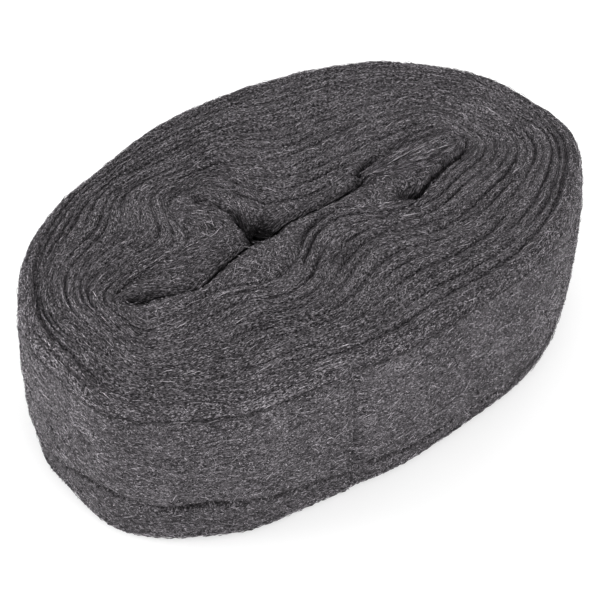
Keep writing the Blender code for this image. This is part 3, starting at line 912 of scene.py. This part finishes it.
def fibrePiece(name, paths, radius, tone, rng):
    # paths (n, p, 3): the first and last points are the tips
    count, steps = paths.shape[:2]
    forward = unit(np.gradient(paths, axis=1))
    aside = unit(np.cross(forward, unit(rng.normal(size=(count, 1, 3)))))
    above = np.cross(forward, aside)
    taper = np.sqrt(np.sin(np.linspace(0.0, math.pi, steps)))[1:-1]
    angles = np.arange(3) * 2.0 * math.pi / 3.0
    thick = radius[:, None, None, None] * taper[None, :, None, None]
    around = np.cos(angles)[:, None] * aside[:, 1:-1, None] + np.sin(angles)[:, None] * above[:, 1:-1, None]
    ringPoints = (paths[:, 1:-1, None] + thick * around).reshape(count, -1, 3)
    points = np.concatenate((paths[:, :1], ringPoints, paths[:, -1:]), axis=1)
    perFibre = points.shape[1]
    points[..., 2] = np.maximum(points[..., 2], fibreLook["lowest"])
    lastRing = steps - 3
    faces, places = [], []
    for side in range(3):
        nextSide = (side + 1) % 3
        faces.append((0, 1 + nextSide, 1 + side))
        places.append(((side + 0.5, 0), (side + 1, 1), (side, 1)))
        for ring in range(lastRing):
            a, b = 1 + 3 * ring + side, 1 + 3 * ring + nextSide
            faces.extend(((a, b, b + 3), (a, b + 3, a + 3)))
            places.append(((side, ring + 1), (side + 1, ring + 1), (side + 1, ring + 2)))
            places.append(((side, ring + 1), (side + 1, ring + 2), (side, ring + 2)))
        faces.append((1 + 3 * lastRing + side, 1 + 3 * lastRing + nextSide, perFibre - 1))
        places.append(((side, lastRing + 1), (side + 1, lastRing + 1), (side + 0.5, lastRing + 2)))
    places = np.array(places, dtype=float) / np.array((3.0, lastRing + 2.0))
    allFaces = (np.array(faces)[None] + perFibre * np.arange(count)[:, None, None]).reshape(-1, 3)
    # each fibre has a cell of its own on the flat layout
    cellShape, edge = fibreLook["cell"]
    across = max(1, int(math.sqrt(count / cellShape)))
    down = math.ceil(count / across)
    cell = np.stack((np.arange(count) % across, np.arange(count) // across), axis=1)
    flat = (cell[:, None, None] + edge + (1.0 - 2.0 * edge) * places[None]) / np.array((across, down))
    piece = meshObject(name, points.reshape(-1, 3), allFaces, [fibreMaterial(name.replace("_", " "))])
    addPointValues(piece, "tone", np.repeat(tone, perFibre))
    addMap(piece, "OFBake", flat)
    piece.data.shade_smooth()
    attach(piece, "root")
    print(name, ":", count, "fibres,", len(allFaces), "triangles")


def fibreTones(rng, settings):
    count = settings["count"]
    tone = np.clip(rng.normal(*settings["tone"], count), 0.02, 0.95)
    # a share of the fibres are painted pale as glints
    return np.where(rng.random(count) < settings["glints"], rng.uniform(0.85, 1.1, count), tone)


endFibres = {
    "seed": 3,
    "count": 6000,
    "length": (0.004, 0.012),
    "radius": (0.0001, 0.00018),
    "steps": 4,
    "slant": 0.32,  # drift across a turn on each centimetre along it, as a share of its width
    "lift": (0.0001, 0.0008),
    "curl": 0.0006,
    # darker than on the wall: painted shade on the upper end
    "tone": (0.435, 0.18),  # mean and spread
    "glints": 0.09,
    "bridging": 0.25,  # share that lies level over the grooves
    "rimShare": 0.15,
}

# short stubs of fibre between the long ones, which give the wool its grain
endNap = {
    "seed": 4,
    "count": 52000,
    "length": (0.0008, 0.0024),
    "radius": (0.00015, 0.00024),
    "steps": 3,
    "slant": 0.45,
    "lift": (0.00005, 0.00055),
    "curl": 0.0002,
    # darker than on the wall: painted shade on the upper end
    "tone": (0.385, 0.39),
    "glints": 0.1,
    "bridging": 0.1,
    "rimShare": 0.16,
}


# limits of the fibres on the two ends
endRoom = {
    "across": (0.02, 0.98),  # of a turn, where they start
    "rimSlant": 0.3,
    "bridged": 0.006,  # deepest place that a level fibre bridges
    "wobble": 0.00018,
    "lowest": 0.0002,
    "past": 0.0018,  # how far they may stand past the ribbon's edge
    "leastWidth": 0.001,
}


def alongByLength(rng, count):
    # places along the spiral, evenly spread over its length and width
    along = np.linspace(1.0, lastAlong, 4000)
    middle, width, _ = endSurface(along, np.full(len(along), 0.5))
    length = pathLength(middle)
    weight = np.concatenate(((0.0,), np.cumsum(np.diff(length) * (width[1:] + endRoom["leastWidth"]))))
    picked = np.interp(rng.random(count) * weight[-1], weight, along)
    return picked, along, length


def endFibrePaths(settings, rng, count, upper):
    start, alongTable, lengthTable = alongByLength(rng, count)
    across = rng.uniform(*endRoom["across"], count)
    # some lie round the rim of the last turn
    onRim = rng.random(count) < settings["rimShare"]
    lastLength = np.interp((lastAlong - 1.0, lastAlong), alongTable, lengthTable)
    rimStart = np.interp(rng.uniform(*lastLength, count), lengthTable, alongTable)
    start = np.where(onRim, rimStart, start)
    fromOuter = roll["rimRound"] * (1.0 - np.sin(rng.uniform(0.0, 0.5 * math.pi, count)))
    rimWidth = np.maximum(endSurface(rimStart, np.full(count, 0.5))[1], endRoom["leastWidth"])
    across = np.where(onRim, clamp(1.0 - fromOuter / rimWidth), across)
    reachOut = rng.uniform(*settings["length"], count)
    steps = np.linspace(-0.5, 0.5, settings["steps"])
    at = np.interp(start, alongTable, lengthTable)[:, None] + reachOut[:, None] * steps[None]
    along = np.interp(at, lengthTable, alongTable)
    slant = np.where(onRim, endRoom["rimSlant"], 1.0) * rng.normal(0.0, settings["slant"], count)
    drift = slant[:, None] * reachOut[:, None] / 0.01 * steps[None]
    surface, _, shade = endSurface(along, clamp(across[:, None] + drift), upper)
    lift = rng.uniform(*settings["lift"], count)[:, None]
    bend = rng.normal(0.0, settings["curl"], count)[:, None] * np.cos(math.pi * steps)[None]
    away = (lift + np.abs(bend)) * (1.0 if upper else -1.0)
    bridging = (rng.random(count) < settings["bridging"]) & (start < lastAlong - 1.0)
    bridging = bridging & (np.ptp(surface[..., 2], axis=1) < endRoom["bridged"])
    farthest = np.max if upper else np.min
    level = farthest(surface[..., 2], axis=1, keepdims=True)
    surface[..., 2] = np.where(bridging[:, None], level, surface[..., 2]) + away
    surface[..., :2] += rng.normal(0.0, endRoom["wobble"], (count, settings["steps"], 2))
    surface[..., 2] = np.clip(surface[..., 2], endRoom["lowest"], roll["ribbonWidth"] + endRoom["past"])
    return surface + rollShift, shade.mean(axis=1)


def buildFibres(names, settings, paths, shade, rng):
    # one piece for each name
    count = settings["count"]
    radius = rng.uniform(*settings["radius"], count)
    # fibres in shaded places get the same painted shade
    tone = fibreTones(rng, settings) * (1.0 - fibreLook["shading"] * shade)
    for index, name in enumerate(names):
        part = slice(index, None, len(names))
        fibrePiece(name, paths[part], radius[part], tone[part], rng)


def buildEndFibres(names, settings, upper=True):
    rng = np.random.default_rng(settings["seed"])
    buildFibres(names, settings, *endFibrePaths(settings, rng, settings["count"], upper), rng)


buildEndFibres(["end_fibres"], endFibres)
buildEndFibres(["end_nap_a", "end_nap_b"], endNap)

undersideFibres = {
    "seed": 5,
    "count": 9000,
    "length": (0.003, 0.008),
    "radius": (0.00018, 0.0003),
    "steps": 3,
    "slant": 0.6,
    "lift": (0.00005, 0.0005),
    "curl": 0.0003,
    "tone": (0.46, 0.28),
    "glints": 0.06,
    "bridging": 0.2,
    "rimShare": 0.12,
}

buildEndFibres(["underside_fibres"], undersideFibres, False)

wallFibres = {
    "seed": 7,
    "count": 8000,
    "length": (0.004, 0.013),
    "radius": (0.0001, 0.00018),
    "steps": 4,
    "slope": 0.34,  # usual slope against the ribbon's direction
    "wildShare": 0.25,
    "wildSlope": 1.3,
    "lift": (0.00005, 0.0008),
    "curl": 0.0012,
    "tone": (0.48, 0.18),
    "glints": 0.09,
    "strayShare": 0.05,
    "strayTilt": (0.05, 0.3),  # how far a stray fibre turns outward for each metre along it
}

wallNap = {
    "seed": 8,
    "count": 50000,
    "length": (0.0009, 0.0026),
    "radius": (0.00015, 0.00024),
    "steps": 3,
    "slope": 0.45,
    "wildShare": 0.3,
    "wildSlope": 2.0,
    "lift": (0.00005, 0.0005),
    "curl": 0.0003,
    "tone": (0.46, 0.44),
    "glints": 0.13,
    "strayShare": 0.14,
    "strayTilt": (0.3, 1.3),
}


# limits of the fibres on the wall
wallRoom = {
    "start": (0.003, 0.093),  # height of their middles
    "height": (0.0012, 0.0932),
    "doubleCurl": 0.4,
    "bow": 0.0004,
}


def wallPoint(around, height):
    # a point on the wall, its outward direction and its painted shade, from the wall's grid of points
    rows, wallColumns = wallGrid.shape[:2]
    column = np.interp(around % wallArc[-1], wallArc, np.arange(wallColumns + 1))
    row = rows - 1.0 - np.interp(height, wallGrid[::-1, 0, 2], np.arange(rows))
    firstColumn, firstRow = np.floor(column).astype(int), np.minimum(np.floor(row).astype(int), rows - 2)
    pastColumn, pastRow = (column - firstColumn)[..., None], (row - firstRow)[..., None]
    here, following = firstColumn % wallColumns, (firstColumn + 1) % wallColumns

    def onGrid(grid, columnShare, rowShare):
        upper = blend(grid[firstRow, here], grid[firstRow, following], columnShare)
        lower = blend(grid[firstRow + 1, here], grid[firstRow + 1, following], columnShare)
        return blend(upper, lower, rowShare)

    outward = unit(blend(wallOutward[here], wallOutward[following], pastColumn))
    outward = withHeight(outward, np.zeros(outward.shape[:-1]))
    shade = onGrid(wallShades, pastColumn[..., 0], pastRow[..., 0])
    return onGrid(wallGrid, pastColumn, pastRow), outward, shade


def wallFibrePaths(settings, rng, count):
    around = rng.uniform(0.0, wallArc[-1], count)
    height = rng.uniform(*wallRoom["start"], count)
    reachOut = rng.uniform(*settings["length"], count)
    slope = rng.normal(0.0, settings["slope"], count)
    wild = rng.random(count) < settings["wildShare"]
    slope = np.where(wild, rng.normal(0.0, settings["wildSlope"], count), slope)
    heading = np.arctan(slope)[:, None]
    steps = np.linspace(-0.5, 0.5, settings["steps"])
    singleCurl = rng.normal(0.0, settings["curl"], count)[:, None]
    doubleCurl = rng.normal(0.0, wallRoom["doubleCurl"] * settings["curl"], count)[:, None]
    curl = singleCurl * np.cos(math.pi * steps)[None] + doubleCurl * np.sin(2.0 * math.pi * steps)[None]
    forward = reachOut[:, None] * steps[None]
    alongWall = around[:, None] + forward * np.cos(heading) - curl * np.sin(heading)
    up = height[:, None] + forward * np.sin(heading) + curl * np.cos(heading)
    point, outward, shade = wallPoint(alongWall, np.clip(up, *wallRoom["height"]))
    lift = rng.uniform(*settings["lift"], count)[:, None]
    bow = rng.normal(0.0, wallRoom["bow"], count)[:, None] * np.cos(math.pi * steps)[None]
    isStray = rng.random(count) < settings["strayShare"]
    stray = np.where(isStray, rng.uniform(*settings["strayTilt"], count), 0.0)
    point = point + outward * (lift + bow + stray[:, None] * forward)[..., None]
    return point, shade.mean(axis=1)


def buildWallFibres(names, settings):
    rng = np.random.default_rng(settings["seed"])
    buildFibres(names, settings, *wallFibrePaths(settings, rng, settings["count"]), rng)


buildWallFibres(["wall_fibres"], wallFibres)
buildWallFibres(["wall_nap_a", "wall_nap_b"], wallNap)

floorSettings = {
    "size": 8.0,
    "colour": (0.6, 0.6, 0.6, 1.0),
    "roughness": 0.9,
    "glow": 0.42,  # only as seen by the camera and in reflections, so it lights nothing
}


def buildFloor():
    half = floorSettings["size"] / 2.0
    corners = [(-half, -half, 0.0), (half, -half, 0.0), (half, half, 0.0), (-half, half, 0.0)]
    material, tree, shader = newMaterial("studio floor")
    shader.inputs["Base Color"].default_value = floorSettings["colour"]
    shader.inputs["Roughness"].default_value = floorSettings["roughness"]
    shader.inputs["Specular IOR Level"].default_value = 0.0
    shader.inputs["Emission Color"].default_value = (1.0, 1.0, 1.0, 1.0)
    rays = addNode(tree, "ShaderNodeLightPath").outputs
    mirrored = mathsNode(tree, "MAXIMUM", rays["Is Glossy Ray"], rays["Is Transmission Ray"])
    seen = mathsNode(tree, "MAXIMUM", rays["Is Camera Ray"], mirrored)
    glow = mathsNode(tree, "MULTIPLY", seen, floorSettings["glow"])
    tree.links.new(glow, shader.inputs["Emission Strength"])
    floor = meshObject("studio_floor", corners, [(0, 1, 2, 3)], [material])
    print("floor:", floorSettings["size"], "m wide")


buildFloor()

lightSettings = {
    "world": 1.0,
    "target": (0.0, 0.0, 0.05),
    "lamps": (
        # name, azimuth, elevation, distance, size, watts
        ("key", -128.0, 17.0, 1.6, 1.0, 20.0),
        ("front", -5.0, 16.0, 1.6, 1.0, 19.0),
        ("back", 120.0, 30.0, 1.6, 1.2, 5.0),
    ),
}


def fromAngles(azimuth, elevation):
    a, e = math.radians(azimuth), math.radians(elevation)
    return Vector((math.sin(a) * math.cos(e), -math.cos(a) * math.cos(e), math.sin(e)))


def pointAt(thing, target):
    thing.rotation_euler = (target - thing.location).to_track_quat("-Z", "Y").to_euler()


def buildLights():
    world = bpy.data.worlds.new("studio")
    world.use_nodes = True
    bpy.context.scene.world = world
    background = world.node_tree.nodes["Background"]
    background.inputs["Color"].default_value = (1.0, 1.0, 1.0, 1.0)
    background.inputs["Strength"].default_value = lightSettings["world"]
    for name, azimuth, elevation, distance, size, watts in lightSettings["lamps"]:
        lamp = bpy.data.lights.new(name, "AREA")
        lamp.shape = "DISK"
        lamp.size = size
        lamp.energy = watts
        thing = newObject(name, lamp)
        thing.location = fromAngles(azimuth, elevation) * distance
        pointAt(thing, Vector(lightSettings["target"]))
    print("lights:", len(lightSettings["lamps"]), "lamps and a plain world")


buildLights()

cameraSettings = {
    "azimuth": -41.7,
    "elevation": 42.0,
    "distance": 0.992,
    "target": (0.01976, 0.024, 0.0012),
    "lens": 95.2,
}


def buildCamera():
    data = bpy.data.cameras.new("camera")
    data.lens = cameraSettings["lens"]
    camera = newObject("camera", data)
    target = Vector(cameraSettings["target"])
    viewFrom = fromAngles(cameraSettings["azimuth"], cameraSettings["elevation"])
    camera.location = target + viewFrom * cameraSettings["distance"]
    pointAt(camera, target)
    bpy.context.scene.camera = camera
    print("camera at", tuple(camera.location))


buildCamera()
bpy.context.scene.view_settings.view_transform = "Standard"
